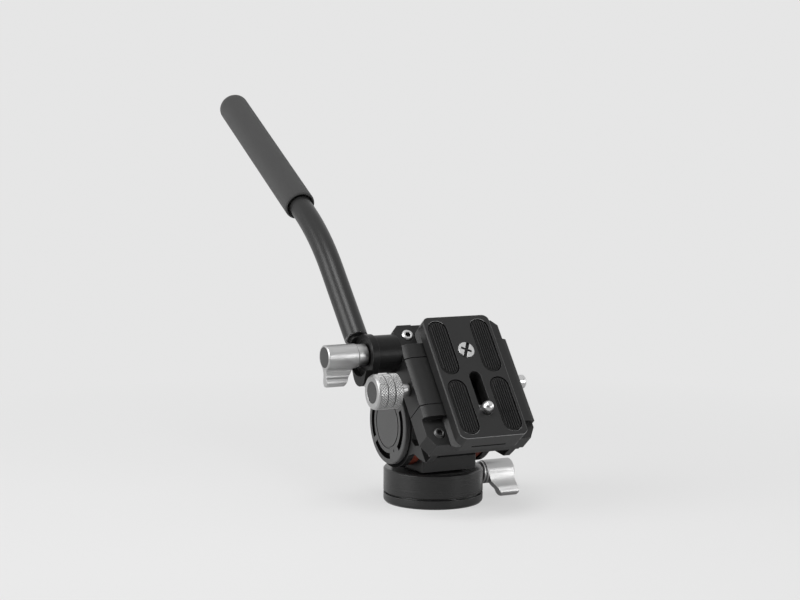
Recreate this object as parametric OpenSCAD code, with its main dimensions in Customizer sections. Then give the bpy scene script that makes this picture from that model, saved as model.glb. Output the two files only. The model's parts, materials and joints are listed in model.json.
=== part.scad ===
// Fluid video head: a round panning base, a pedestal that carries the tilt axle, a tilting saddle
// with a quick-release clamp and plate, three wing locks and a bent pan handle.
// Origin: centre of the base's underside. +Z is the pan axis, X the tilt axis, -Y the lens side.
// Tilted pieces are drawn level about the tilt axis (-Y forward, +Z up) and turned to the rest tilt.

/* [Base] */
// Diameter of the base
base_d = 52; // [48:1:60]
// Height of the base's rim
base_h = 18; // [17:0.5:20]
// Height of the plate that closes the base from below
base_plate_h = 5.4; // [4.5:0.1:6]
// Height of the groove round the base
base_groove_h = 0.7; // [0.4:0.1:1]
// Depth of the groove round the base
base_groove_depth = 0.8; // [0.4:0.1:1.5]
// Rounding of the base's lower edge
base_edge_r = 1.6; // [0.8:0.1:2.5]
// Radius of the tripod thread at its wall (3/8-16, tapping size)
tripod_r = 3.97; // [3.9:0.01:4.1]
// Depth of the tripod thread
tripod_depth = 9; // [8:0.5:9.5]
// Outer radius of the threaded bush
bush_r = 7.5; // [6.5:0.1:9]
// Circle on which the base screws lie
base_screw_pcd = 38; // [34:0.5:41]

/* [Pan bearing] */
// Radius of the pan spindle
spindle_r = 7; // [5:0.1:8]
// Radius of the spindle's brake drum
drum_r = 12; // [10:0.1:13]
// Height of the brake drum
drum_h = 3.8; // [3:0.1:4.5]
// Outer radius of the thrust washer
washer_r = 15; // [13:0.5:15.5]
// Thickness of the thrust washer
washer_t = 1.4; // [1:0.1:2]

/* [Pedestal] */
// Width of the pedestal between the cheeks
pedestal_w = 31.2; // [28:0.2:34]
// Radius to which the pedestal's foot is turned
foot_r = 23.4; // [21:0.1:24]
// Depth of the pedestal's neck, front to back
neck_depth = 36; // [30:0.5:38]
// Room under the pedestal's drum, down to its foot
barrel_room = 3; // [2.4:0.1:5]
// Gap between the base's rim and the foot
rim_gap = 0.7; // [0.4:0.1:1.2]

/* [Tilt] */
// Height of the tilt axis
tilt_h = 42.3; // [42:0.1:46]
// Tilt of the plate in the rest pose, nose down
tilt_rest = 51.5; // [0:0.5:60]
// Radius of the tilt axle
axle_r = 6; // [4:0.1:7]
// Room under the two drag rings, down to the pedestal's foot
ring_room = 1.6; // [1:0.1:2.4]
// Thickness of each drag ring
ring_t = 4.6; // [3:0.1:5]
// Room under the round cheeks, down to the pedestal's foot
cheek_room = 0.8; // [0.4:0.1:1.6]
// Thickness of each cheek
cheek_t = 3.7; // [3.2:0.1:5]
// Step from the cheek's edge in to the side cover's edge
cover_step = 1.9; // [1:0.1:3]
// Thickness of the side covers
cover_t = 2.8; // [2.4:0.1:3.2]
// Width of the long slots in the side covers
cover_slot_w = 3; // [2:0.1:3.4]
// Wall of the bearings in the cheeks
bearing_wall = 3; // [2:0.1:4]

/* [Clamp] */
// Width of the clamp over both jaws
clamp_w = 61; // [58:0.5:66]
// Front end of the clamp, ahead of the tilt axis
clamp_front = 35.8; // [34:0.1:38]
// Rear end of the clamp, behind the tilt axis
clamp_rear = 34.1; // [33:0.1:36]
// Height of the clamp's underside over the tilt axis
clamp_low = 31; // [30:0.1:32]
// Height of the jaw tops over the tilt axis
clamp_high = 45; // [44:0.1:46]
// Thickness of the saddle's bridge under the clamp
bridge_t = 4; // [3:0.1:5]
// Height of the clamp's low ends over the tilt axis
end_n = 41; // [40.6:0.1:42]
// Rear end of the high jaws, behind the tilt axis
ridge_rear = 20.7; // [18:0.1:22]
// Front end of the high jaw on the left
ridge_front = 21; // [18:0.1:24]
// Front end of the high jaw on the right
right_ridge_front = 27.8; // [22:0.1:29]
// Front end of the moving jaw
jaw_front = 14.1; // [12:0.1:16]
// Rear end of the moving jaw, behind the tilt axis
jaw_rear = 12.4; // [11:0.1:12.5]
// Thickness of the moving jaw's wall
jaw_wall = 9.8; // [8:0.1:10.5]
// Place of the clamp knob's axis ahead of the tilt axis
knob_v = 1.5; // [0:0.1:3]
// Height of the clamp knob's axis over the tilt axis
knob_n = 37.5; // [36.5:0.1:37.8]
// Radius of the clamp knob
knob_r = 9; // [7:0.1:10]
// Length of the clamp knob
knob_len = 13.8; // [11:0.1:16]
// Length of the clamp knob's neck
knob_neck = 6.3; // [4:0.1:8]
// Travel of the moving jaw
jaw_travel = 3.75; // [2:0.05:4]
// Radius of the clamp rod
rod_r = 2; // [1.5:0.1:2.2]
// How far the rod's end nut stands out of the right jaw
rod_out = 6; // [4:0.1:8]

/* [Quick-release plate] */
// Width of the plate
plate_w = 38.5; // [36:0.1:40]
// Length of the plate
plate_len = 70; // [60:0.5:80]
// Height of the plate's top over the tilt axis
plate_n = 52.7; // [52:0.1:54]
// Thickness of the plate
plate_t = 12.4; // [12:0.1:12.6]
// Plate's middle ahead of the tilt axis
plate_mid_v = 4.25; // [0:0.25:6]
// Side overhang of the plate's dovetail
dovetail = 3.6; // [2.5:0.1:4]
// Width of a rubber pad
pad_w = 9.6; // [8:0.1:11]
// Length of a rubber pad
pad_len = 30.3; // [26:0.1:31]
// Distance of the pads' middle lines from the plate's middle line
pad_x = 12; // [11:0.1:13]
// Distance of the pads' middles from the plate's middle, lengthwise
pad_reach = 17.1; // [16:0.1:18]
// Place of the camera screw ahead of the tilt axis
stud_v = 23.6; // [20:0.1:25]
// Place of the rear screw behind the tilt axis
rear_screw_v = 10.6; // [9:0.1:12]
// Radius of the camera screw's thread (1/4-20)
stud_r = 3.17; // [3:0.01:3.2]
// Height of the camera screw over the plate
stud_out = 5; // [4:0.1:7]
// Radius of the rear screw (3/8-16)
rear_screw_r = 4.76; // [4.5:0.01:5]

/* [Handle] */
// Handle pivot behind the tilt axis
pivot_v = 21.2; // [21:0.1:23]
// Handle pivot's height over the tilt axis
pivot_n = 35.5; // [35:0.1:36]
// Radius of the handle's boss
boss_r = 9.6; // [8.5:0.1:10]
// Length of the handle's boss
boss_len = 12.6; // [11:0.1:15]
// Thickness of the handle's block
block_t = 7; // [6.9:0.1:8]
// Radius of the handle block's round end
block_r = 10.4; // [9.8:0.1:11]
// Depth of the seat in the handle block that the lock's foot sits in
block_seat = 3.3; // [2:0.1:4]
// Radius of the handle tube
tube_r = 6.1; // [5:0.1:7]
// Wall of the handle tube
tube_wall = 1.2; // [1:0.1:1.6]
// Radius of the grip
grip_r = 8.3; // [7.5:0.1:10]
// Length of the grip
grip_len = 112; // [90:1:140]
// Straight length of the tube from its socket to the bend
tube_low = 44; // [30:1:70]
// Radius of the tube's bend
bend_r = 130; // [80:5:200]
// Angle of the tube's bend
bend_deg = 19.4; // [5:0.1:40]
// Fall of the tube's lower end against the plate
tube_drop = 3.6; // [0:0.1:8]

/* [Wing locks] */
// Radius of a wing lock's barrel
lock_r = 6.2; // [5:0.1:7]
// Length of a wing lock's barrel
lock_len = 18.6; // [16:0.1:20]
// Reach of the wing from the lock's axis
wing_reach = 14.3; // [12:0.1:14.5]
// Width of the wing's tip along the axis
wing_w = 11; // [9:0.1:12]
// Thickness of the wing
wing_t = 4.2; // [3:0.1:4.6]
// Radius of the bead along the wing's tip
bead_r = 2.3; // [1.8:0.1:2.5]
// Radius of the lock's screw
lock_screw_r = 2.5; // [2:0.1:3]
// Height of the pan lock over the base's underside
pan_lock_z = 12.4; // [12.3:0.1:13]
// Lean of the pan lock's wing towards the front
pan_wing_deg = 21; // [21:1:70]
// Lean of the handle lock's wing towards the front
handle_wing_deg = 26; // [0:1:30]

/* [Clearances] */
// Running clearance, radius
run_gap = 0.05; // [0.02:0.01:0.1]
// Clearance between faces that move past each other
move_gap = 0.3; // [0.2:0.05:0.5]

/* [Hidden] */
$fn = 64;
eps = 0.02;
cut = 1;

base_r = base_d / 2;
cavity_gap = 0.4;
cavity_r = drum_r + cavity_gap;
drum_z = tripod_depth + 1;
cavity_top = drum_z + drum_h + move_gap;
foot_z = base_h + rim_gap;
washer_seat = foot_z - run_gap - washer_t;
screw_r = 1.5;
screw_head_r = 2.7;
screw_head_h = 1.6;
base_screw_top = base_plate_h + 5;
brake_r = 2.3;
brake_len = 3;
brake_x = drum_r + run_gap;
lock_gap = 1.2;
pan_lock_x = base_r + lock_gap;
collar_len = 1.6;
cap_r = 5.2;
cap_t = 0.6;
knob_cap_r = 5.4;

axis_room = tilt_h - foot_z;
barrel_r = axis_room - barrel_room;
ring_r = axis_room - ring_room;
cheek_r = axis_room - cheek_room;
cover_r = cheek_r - cover_step;
ped_x = pedestal_w / 2;
ring_x = ped_x + ring_t;
cheek_x = ring_x + move_gap;
cheek_out = cheek_x + cheek_t;
cover_out = cheek_out + cover_t;
bearing_r = axle_r + run_gap + bearing_wall;
axle_x = cheek_out - 1;
spindle_top = foot_z + 7;
bridge_low = clamp_low - bridge_t;
arm_front = clamp_front - 0.7;
arm_rear = 27;
bridge_over = 1.5;
end_screw_side = 3.65;
end_screw_x = plate_w / 2 + end_screw_side;
end_screw_wall = 2.8;
bridge_x = max(cheek_out + bridge_over, end_screw_x + end_screw_wall);
web_n = bridge_low - 11.9;
web_v = arm_front - 6.3;
cheek_flat = cheek_r - 0.4;
cheek_flat_n = 4;

clamp_x = clamp_w / 2;
plate_low = plate_n - plate_t;
floor_n = plate_low - run_gap;
waist_x = plate_w / 2 - dovetail;
foot_n = plate_low + 1.2;
lip_n = foot_n + dovetail;
jaw_gap = 0.5;
jaw_x = clamp_x - jaw_wall;
chamfer_x = 3.4;
chamfer_n = 1.4;
end_screw_v = [-28.1, 28.8];
end_head_r = 3.2;
end_head_out = 0.7;
end_head_seat = end_n - 2.2;
knob_x = clamp_x + knob_neck;
knob_cap_x = knob_x + knob_len;
nut_r = 3.6;

pad_v = [plate_mid_v - pad_reach, plate_mid_v + pad_reach];
pad_sink = 1;
slot_rear_v = 1.8;
slot_r = stud_r + 0.15;
stud_waist_r = stud_r - 0.2;
plate_recess_h = 5;
stud_head_out = 3.6;

boss_x = clamp_x + boss_len;
block_in = boss_x + move_gap;
block_out = block_in + block_t;
tube_x = (block_in + block_out) / 2;
block_end_v = pivot_v - 7;
block_end_n = pivot_n - 5.1;
block_end_r = 7;
block_screw_r = 2.5;
block_screw_out = 0.6;
block_screw_len = 5;
seat_step = 0.7;
inner_seat = block_seat + seat_step;
tube_gap = 1.5;
tube_v = pivot_v + block_r + tube_gap;
stub_r = block_t / 2 - 0.1;
stub_len = 10;
stub_root = pivot_v - tube_v + 4;
tube_dip = 3.3;
tube_n = pivot_n - tube_dip;
handle_lock_x = block_out + move_gap;
grip_over = 7;
grip_end = 10;
tube_high = grip_over + grip_len - grip_end;
bend_steps = 8;
tube_sides = 32;

// Helpers

// Turns level pieces about the tilt axis to the rest tilt
module in_tilt() {
    translate([0, 0, tilt_h]) rotate([tilt_rest, 0, 0]) children();
}

// Side outline, drawn as [forward, up], given a width from x0 to x1
module across(x0, x1) {
    translate([x0, 0, 0]) rotate([90, 0, 90]) linear_extrude(x1 - x0) mirror([1, 0]) children();
}

// Plan outline, drawn as [x, forward], given a height from n0 to n1
module upward(n0, n1) {
    translate([0, 0, n0]) linear_extrude(n1 - n0) mirror([0, 1]) children();
}

// Round bar along X at a place in the side view
module bar_x(x0, x1, r, v = 0, n = 0) {
    translate([x0, -v, n]) rotate([0, 90, 0]) cylinder(h = x1 - x0, r = r);
}

// Round bar along Z
module bar_z(z0, z1, r, x = 0, y = 0) {
    translate([x, y, z0]) cylinder(h = z1 - z0, r = r);
}

// Long round-ended outline, lengthwise along its second axis
module stadium(w, len) {
    straight = len - w;
    square([w, straight], center = true);
    for (s = [-1, 1]) translate([0, s * straight / 2]) circle(d = w);
}

// Cross-section of a lock's wing [sideways, up]: its front flank leaves the barrel as a tangent
module wing_section() {
    hollow_r = 14;
    hollow_deep = 0.7;
    neck_r = 1.2;
    bead_x = bead_r - lock_r;
    back_x = wing_t - lock_r;
    bead_z = bead_r - wing_reach;
    neck_z = bead_z + bead_r;
    difference() {
        union() {
            polygon([[-lock_r, 0], [-lock_r, bead_z], [back_x, bead_z], [back_x, -lock_r - 0.6],
                [back_x + 1.4, 1 - lock_r], [0, -lock_r / 2], [0, 0]]);
            translate([bead_x, bead_z]) circle(r = bead_r);
        }
        translate([-lock_r - hollow_r + hollow_deep, (neck_z - 1) / 2]) circle(r = hollow_r);
        translate([back_x + hollow_deep, neck_z]) circle(r = neck_r);
    }
}

// Wing's outline seen from its flank [along the axis, up]
module wing_flank() {
    tip_z = -wing_reach;
    tip_x = lock_len - wing_w;
    polygon([[collar_len + 1, 0], [tip_x - 4, -lock_r], [tip_x - 0.8, tip_z + 3.6],
        [tip_x + 0.6, tip_z + 0.8], [tip_x + 1.4, tip_z], [lock_len - 0.6, tip_z],
        [lock_len + 0.2, tip_z + 0.8], [lock_len + 0.2, tip_z + 3],
        [lock_len - 0.6, -lock_r], [lock_len - 0.6, 0]]);
}

// Wing lock along +X from its collar at x = 0, wing towards -Z, with a foot that reaches back
module wing_lock(foot = 0) {
    difference() {
        union() {
            rotate([0, 90, 0]) rotate_extrude() polygon([[0, -foot], [lock_r - 1.2, -foot],
                [lock_r - 0.4, 0.8 - foot], [lock_r - 0.4, collar_len], [lock_r - 0.9, collar_len + 0.3],
                [lock_r, collar_len + 0.6], [lock_r, lock_len - 0.5], [lock_r - 0.5, lock_len],
                [0, lock_len]]);
            intersection() {
                rotate([90, 0, 0]) linear_extrude(4 * lock_r, center = true) wing_flank();
                rotate([90, 0, 90]) linear_extrude(2 * lock_len) wing_section();
            }
        }
        translate([lock_len - cap_t, 0, 0]) rotate([0, 90, 0]) cylinder(h = 2, r = cap_r + run_gap);
        bar_x(-foot - cut, lock_len - 5, lock_screw_r + run_gap);
    }
}

// Inlay in the end of a wing lock
module lock_cap() {
    translate([lock_len - cap_t, 0, 0]) rotate([0, 90, 0]) cylinder(h = cap_t, r = cap_r);
}

// Threaded stem of a wing lock, reaching back from its foot
module lock_stem(reach) {
    bar_x(-reach, lock_len - 5.2, lock_screw_r);
}

// Base

module base_screw_places() {
    for (a = [30, 150, 270]) rotate(a) translate([base_screw_pcd / 2, 0, 0]) children();
}

module base_plate() {
    color([0.05, 0.05, 0.05]) difference() {
        rotate_extrude() difference() {
            union() {
                translate([0, base_edge_r]) square([base_r, base_plate_h - base_groove_h - base_edge_r]);
                square([base_r - base_edge_r, base_plate_h]);
                translate([base_r - base_edge_r, base_edge_r]) circle(r = base_edge_r);
                square([base_r - base_groove_depth, base_plate_h - base_edge_r]);
            }
            translate([base_r - base_edge_r, -1]) square([base_edge_r + cut, 1]);
        }
        bar_z(-cut, base_plate_h + cut, bush_r + eps);
        base_screw_places() {
            bar_z(-cut, base_plate_h + cut, screw_r + eps);
            bar_z(-cut, screw_head_h + eps, screw_head_r + eps);
        }
    }
}

module base_housing() {
    screw_clear = 0.5;
    color([0.05, 0.05, 0.05]) difference() {
        rotate_extrude() polygon([[spindle_r + run_gap, cavity_top], [cavity_r, cavity_top],
            [cavity_r, base_plate_h], [base_r - base_groove_depth, base_plate_h],
            [base_r, base_plate_h + base_groove_depth / 2], [base_r, base_h - 0.8], [base_r - 0.8, base_h],
            [washer_r + eps, base_h], [washer_r + eps, washer_seat], [spindle_r + run_gap, washer_seat]]);
        base_screw_places() bar_z(base_plate_h - cut, base_screw_top + screw_clear, screw_r + eps);
        translate([0, 0, pan_lock_z]) bar_x(drum_r - cut, base_r + cut, lock_screw_r + run_gap);
    }
}

module thread_bush() {
    color([0.6, 0.6, 0.62]) difference() {
        bar_z(0, tripod_depth, bush_r);
        bar_z(-cut, tripod_depth + cut, tripod_r);
    }
}

module base_screws() {
    hex_r = 1.2;
    color([0.2, 0.2, 0.2]) base_screw_places() difference() {
        union() {
            bar_z(0.2, screw_head_h, screw_head_r);
            bar_z(screw_head_h - eps, base_screw_top, screw_r);
        }
        bar_z(-cut, screw_head_h - 0.4, hex_r);
    }
}

module thrust_washer() {
    color([0.06, 0.06, 0.06]) difference() {
        bar_z(washer_seat, washer_seat + washer_t, washer_r);
        bar_z(washer_seat - cut, foot_z + cut, spindle_r + run_gap);
    }
}

module brake_shoe() {
    color([0.72, 0.55, 0.3]) translate([0, 0, pan_lock_z]) bar_x(brake_x, brake_x + brake_len, brake_r);
}

// Pan lock

module at_pan_lock() {
    translate([pan_lock_x, 0, pan_lock_z]) rotate([-pan_wing_deg, 0, 0]) children();
}

module pan_knob() {
    color([0.7, 0.7, 0.71]) at_pan_lock() wing_lock();
}

module pan_knob_cap() {
    color([0.33, 0.33, 0.34]) at_pan_lock() lock_cap();
}

module pan_screw() {
    reach = pan_lock_x - brake_x - brake_len - run_gap;
    color([0.5, 0.5, 0.5]) at_pan_lock() lock_stem(reach);
}

// Pan body

module pedestal() {
    groove_up = 8.4;
    groove_z = foot_z + groove_up;
    groove_h = 1.4;
    groove_slope = 1.2;
    face = neck_depth / 2;
    bed = face - 0.8;
    color([0.06, 0.06, 0.06]) difference() {
        union() {
            intersection() {
                bar_z(foot_z, tilt_h, foot_r);
                translate([-ped_x, -neck_depth / 2, foot_z]) cube([pedestal_w, neck_depth, tilt_h - foot_z]);
            }
            translate([0, 0, tilt_h]) bar_x(-ped_x, ped_x, barrel_r);
        }
        translate([0, 0, tilt_h]) bar_x(-ped_x - cut, ped_x + cut, axle_r + eps);
        bar_z(foot_z - cut, spindle_top + 0.5, spindle_r + eps);
        for (s = [-1, 1]) rotate([90, 0, 90]) linear_extrude(2 * pedestal_w, center = true) polygon([
            [s * (face + cut), groove_z - groove_slope], [s * face, groove_z - groove_slope],
            [s * bed, groove_z], [s * bed, groove_z + groove_h], [s * (face + cut), groove_z + groove_h]]);
    }
}

module pan_spindle() {
    color([0.6, 0.6, 0.62]) {
        bar_z(drum_z, drum_z + drum_h, drum_r);
        bar_z(drum_z + drum_h - eps, spindle_top, spindle_r);
    }
}

module tilt_axle() {
    color([0.6, 0.6, 0.62]) translate([0, 0, tilt_h]) bar_x(-axle_x, axle_x, axle_r);
}

module drag_ring(side) {
    x0 = side > 0 ? ped_x : -ring_x;
    color([0.72, 0.16, 0.05]) translate([0, 0, tilt_h]) difference() {
        bar_x(x0, x0 + ring_t, ring_r);
        bar_x(x0 - cut, x0 + ring_t + cut, axle_r + eps);
    }
}

module left_drag_ring() {
    drag_ring(-1);
}

module right_drag_ring() {
    drag_ring(1);
}

// Tilting saddle

// Side outline of a cheek: a disc about the axis, a web up to the bridge and a window in front
module cheek_outline() {
    web_deg = 14;
    window_v = 13.4;
    window_drop = 7.5;
    window_low_v = 17.6;
    window_low_drop = 13.4;
    circle(r = cheek_r);
    difference() {
        polygon([[-cheek_flat, cheek_flat_n], [-arm_rear, bridge_low - 3], [-arm_rear, clamp_low],
            [arm_front, clamp_low], [arm_front - 0.6, web_n + 5.7], [web_v, web_n], [web_v - 4.3, web_n - 3],
            cheek_r * [cos(web_deg), sin(web_deg)], [0, 0]]);
        polygon([[window_v, bridge_low - window_drop], [window_low_v, bridge_low - window_low_drop],
            [web_v - 6.8, web_n + 0.6], [web_v - 4.1, web_n + 5.7]]);
    }
}

module cheek(x0) {
    across(x0, x0 + cheek_t) cheek_outline();
}

module tilt_saddle() {
    color([0.07, 0.07, 0.07]) in_tilt() difference() {
        union() {
            cheek(cheek_x);
            cheek(-cheek_out);
            across(-bridge_x, bridge_x) polygon([[-arm_rear, bridge_low], [-arm_rear, clamp_low],
                [arm_front, clamp_low], [arm_front, bridge_low + 1.4], [arm_front - 6, bridge_low]]);
        }
        bar_x(-cheek_out - cut, cheek_out + cut, bearing_r + eps);
        clamp_screw_places() bar_z(bridge_low - cut, clamp_low + cut, screw_r + eps);
    }
}

module bearing(x0) {
    color([0.72, 0.55, 0.3]) in_tilt() difference() {
        bar_x(x0, x0 + cheek_t, bearing_r);
        bar_x(x0 - cut, x0 + cheek_t + cut, axle_r + run_gap);
    }
}

module left_bearing() {
    bearing(-cheek_out);
}

module right_bearing() {
    bearing(cheek_x);
}

// Round cover on the outside of a cheek: two long and two short slots round its edge, a groove
// inside them and an index dimple between two slots
module cover_disc() {
    rim_w = 2.8;
    slot_out = cover_r - rim_w;
    slot_in = slot_out - cover_slot_w;
    long_slot = [-80, -7];
    short_slot = [3, 63];
    groove_r = slot_in - 3;
    groove_w = 0.7;
    groove_deep = 0.4;
    dimple_r = 0.7;
    dimple_deg = -97;
    difference() {
        rotate_extrude() polygon([[0, 0], [cover_r, 0], [cover_r, cover_t - 0.5], [cover_r - 0.5, cover_t],
            [0, cover_t]]);
        for (turn = [0, 180]) for (s = [long_slot, short_slot])
            translate([0, 0, -cut]) rotate(turn + s[0]) rotate_extrude(angle = s[1] - s[0])
                translate([slot_in, 0]) square([cover_slot_w, cover_t + 2 * cut]);
        translate([0, 0, cover_t - groove_deep]) rotate_extrude() translate([groove_r, 0])
            square([groove_w, 1]);
        rotate(dimple_deg) bar_z(cover_t - groove_deep, cover_t + cut, dimple_r, slot_in);
    }
}

module left_cover() {
    color([0.12, 0.12, 0.12]) in_tilt() translate([-cheek_out, 0, 0]) rotate([0, -90, 0]) cover_disc();
}

module right_cover() {
    color([0.12, 0.12, 0.12]) in_tilt() difference() {
        translate([cheek_out, 0, 0]) rotate([0, 90, 0]) cover_disc();
        bar_x(cheek_out - cut, cover_out + cut, lock_screw_r + run_gap);
    }
}

// Clamp

module clamp_screw_places() {
    for (v = end_screw_v) for (s = [-1, 1]) translate([s * end_screw_x, -v, 0]) children();
}

// Outline of the clamp from above, with cut corners
module clamp_plan() {
    rear_cut = 3.2;
    front_cut_x = 3.7;
    front_cut_v = 5.8;
    polygon([[-clamp_x, rear_cut - clamp_rear], [rear_cut - clamp_x, -clamp_rear],
        [clamp_x - rear_cut, -clamp_rear], [clamp_x, rear_cut - clamp_rear],
        [clamp_x, clamp_front - front_cut_v], [clamp_x - front_cut_x, clamp_front],
        [front_cut_x - clamp_x, clamp_front], [-clamp_x, clamp_front - front_cut_v]]);
}

// High part of a fixed jaw
module ridge(x0, x1, front) {
    translate([x0, -front, clamp_low]) cube([x1 - x0, front + ridge_rear, clamp_high - clamp_low]);
}

// Space that the plate's dovetail slides in, as a cross-section [x, height]
module dovetail_space(gap) {
    foot_x = plate_w / 2 + gap;
    neck_x = waist_x + gap;
    top = clamp_high + cut;
    polygon([[-foot_x, floor_n], [foot_x, floor_n], [foot_x, foot_n], [neck_x, lip_n],
        [neck_x, top], [-neck_x, top], [-neck_x, lip_n], [-foot_x, foot_n]]);
}

module dovetail_channel(gap) {
    rotate([90, 0, 0]) linear_extrude(4 * clamp_front, center = true) dovetail_space(gap);
}

// Slanted upper outer edge of the jaws
module jaw_chamfer(side) {
    far = clamp_x + 1;
    rotate([90, 0, 0]) linear_extrude(4 * clamp_front, center = true) polygon([
        [side * (clamp_x - chamfer_x), clamp_high], [side * clamp_x, clamp_high - chamfer_n],
        [side * far, clamp_high - chamfer_n], [side * far, clamp_high + cut],
        [side * (clamp_x - chamfer_x), clamp_high + cut]]);
}

module clamp_body() {
    color([0.06, 0.06, 0.06]) in_tilt() difference() {
        union() {
            upward(clamp_low, end_n) clamp_plan();
            ridge(-clamp_x, 0, ridge_front);
            ridge(0, clamp_x, right_ridge_front);
        }
        dovetail_channel(run_gap);
        for (side = [-1, 1]) jaw_chamfer(side);
        translate([-clamp_x - cut, -jaw_front - jaw_gap, clamp_low - cut])
            cube([jaw_wall + cut, jaw_front + jaw_rear + 2 * jaw_gap, clamp_high]);
        translate([-clamp_x - cut, -jaw_front - jaw_gap, floor_n])
            cube([clamp_x + cut, jaw_front + jaw_rear + 2 * jaw_gap, clamp_high]);
        bar_x(-clamp_x, clamp_x + cut, rod_r + run_gap, knob_v, knob_n);
        bar_x(-clamp_x - cut, -jaw_x, lock_screw_r + run_gap, -pivot_v, pivot_n);
        clamp_screw_places() {
            bar_z(clamp_low - cut, end_n + cut, screw_r + eps);
            bar_z(end_head_seat, end_n + cut, end_head_r + eps);
        }
    }
}

// Four socket screws in the low ends, which hold the clamp to the saddle
module clamp_screws() {
    socket_r = 1.4;
    color([0.6, 0.6, 0.6]) in_tilt() clamp_screw_places() difference() {
        union() {
            bar_z(bridge_low + 0.5, end_head_seat + eps, screw_r);
            bar_z(end_head_seat + eps, end_n + end_head_out, end_head_r);
        }
        bar_z(end_head_seat + 1, end_n + 2, socket_r);
    }
}

module handle_boss() {
    flat_x = jaw_travel + move_gap;
    color([0.05, 0.05, 0.05]) in_tilt() difference() {
        bar_x(-boss_x, -clamp_x, boss_r, -pivot_v, pivot_n);
        bar_x(-boss_x - cut, -clamp_x + cut, lock_screw_r + run_gap, -pivot_v, pivot_n);
        translate([-clamp_x - flat_x, jaw_rear + jaw_gap - boss_r, clamp_low - cut])
            cube([flat_x + cut, boss_r, clamp_high]);
    }
}

// Tilt lock

module at_tilt_lock() {
    in_tilt() translate([cover_out + lock_gap, 0, 0]) rotate([-tilt_rest - 150, 0, 0]) children();
}

module tilt_knob() {
    color([0.7, 0.7, 0.71]) at_tilt_lock() wing_lock();
}

module tilt_knob_cap() {
    color([0.33, 0.33, 0.34]) at_tilt_lock() lock_cap();
}

module tilt_screw() {
    reach = cover_out + lock_gap - axle_x - run_gap;
    color([0.5, 0.5, 0.5]) at_tilt_lock() lock_stem(reach);
}

// Moving jaw and its knob

module moving_jaw() {
    color([0.08, 0.08, 0.08]) in_tilt() difference() {
        union() {
            translate([-clamp_x, -jaw_front, clamp_low])
                cube([jaw_wall - move_gap, jaw_front + jaw_rear, clamp_high - clamp_low]);
            translate([-clamp_x, -jaw_front, floor_n + run_gap])
                cube([clamp_x - waist_x - run_gap, jaw_front + jaw_rear, clamp_high - floor_n - run_gap]);
        }
        dovetail_channel(run_gap);
        jaw_chamfer(-1);
        bar_x(-clamp_x - cut, 0, rod_r + run_gap, knob_v, knob_n);
    }
}

module clamp_knob() {
    neck_r = 3.4;
    bevel = 1.2;
    groove_deep = 0.7;
    groove_w = 0.6;
    z0 = knob_neck - move_gap;
    z1 = z0 + knob_len;
    grooves = [z0 + knob_len / 3, z0 + 2 * knob_len / 3];
    color([0.7, 0.7, 0.71]) in_tilt() translate([-clamp_x - move_gap, -knob_v, knob_n]) rotate([0, -90, 0])
        rotate_extrude() polygon(concat([[rod_r + eps, 0], [neck_r - 1, 0], [neck_r, 1], [neck_r, z0],
            [knob_r - bevel, z0], [knob_r, z0 + bevel]],
            [for (g = grooves) each [[knob_r, g - groove_w], [knob_r - groove_deep, g - groove_w / 2],
                [knob_r - groove_deep, g + groove_w / 2], [knob_r, g + groove_w]]],
            [[knob_r, z1 - bevel], [knob_r - bevel, z1], [knob_cap_r + eps, z1],
                [knob_cap_r + eps, z1 - cap_t], [rod_r + eps, z1 - cap_t]]));
}

module clamp_knob_cap() {
    color([0.33, 0.33, 0.34]) in_tilt() bar_x(-knob_cap_x, -knob_cap_x + cap_t, knob_cap_r, knob_v, knob_n);
}

module clamp_rod() {
    color([0.62, 0.62, 0.63]) in_tilt()
        bar_x(-knob_cap_x + cap_t, clamp_x + rod_out - 1, rod_r, knob_v, knob_n);
}

// Nut in the right jaw that the rod screws into
module rod_nut() {
    edge = 0.9;
    color([0.7, 0.7, 0.71]) in_tilt() translate([clamp_x, -knob_v, knob_n]) rotate([0, 90, 0])
        rotate_extrude() polygon([[rod_r + run_gap, 0], [nut_r, 0], [nut_r, rod_out - edge],
            [nut_r - edge, rod_out], [rod_r + run_gap, rod_out]]);
}

// Quick-release plate

// Outline of the plate from above, with rounded corners
module plate_plan() {
    corner = 4;
    translate([0, plate_mid_v]) {
        square([plate_w - 2 * corner, plate_len], center = true);
        square([plate_w, plate_len - 2 * corner], center = true);
        for (s = [-1, 1]) for (t = [-1, 1])
            translate([s * (plate_w / 2 - corner), t * (plate_len / 2 - corner)]) circle(r = corner);
    }
}

// Cross-section of the plate [x, height]: flat top, waist and dovetail foot
module plate_section() {
    half = plate_w / 2;
    edge = 0.5;
    neck_top = clamp_high + 0.4;
    wing_low = neck_top + 1.2;
    polygon([[-half, plate_low], [half, plate_low], [half, foot_n], [waist_x, lip_n],
        [waist_x, neck_top], [half, wing_low], [half, plate_n - edge], [half - edge, plate_n],
        [edge - half, plate_n], [-half, plate_n - edge], [-half, wing_low],
        [-waist_x, neck_top], [-waist_x, lip_n], [-half, foot_n]]);
}

module pad_places() {
    for (s = [-1, 1]) for (v = pad_v) translate([s * pad_x, v]) children();
}

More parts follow.
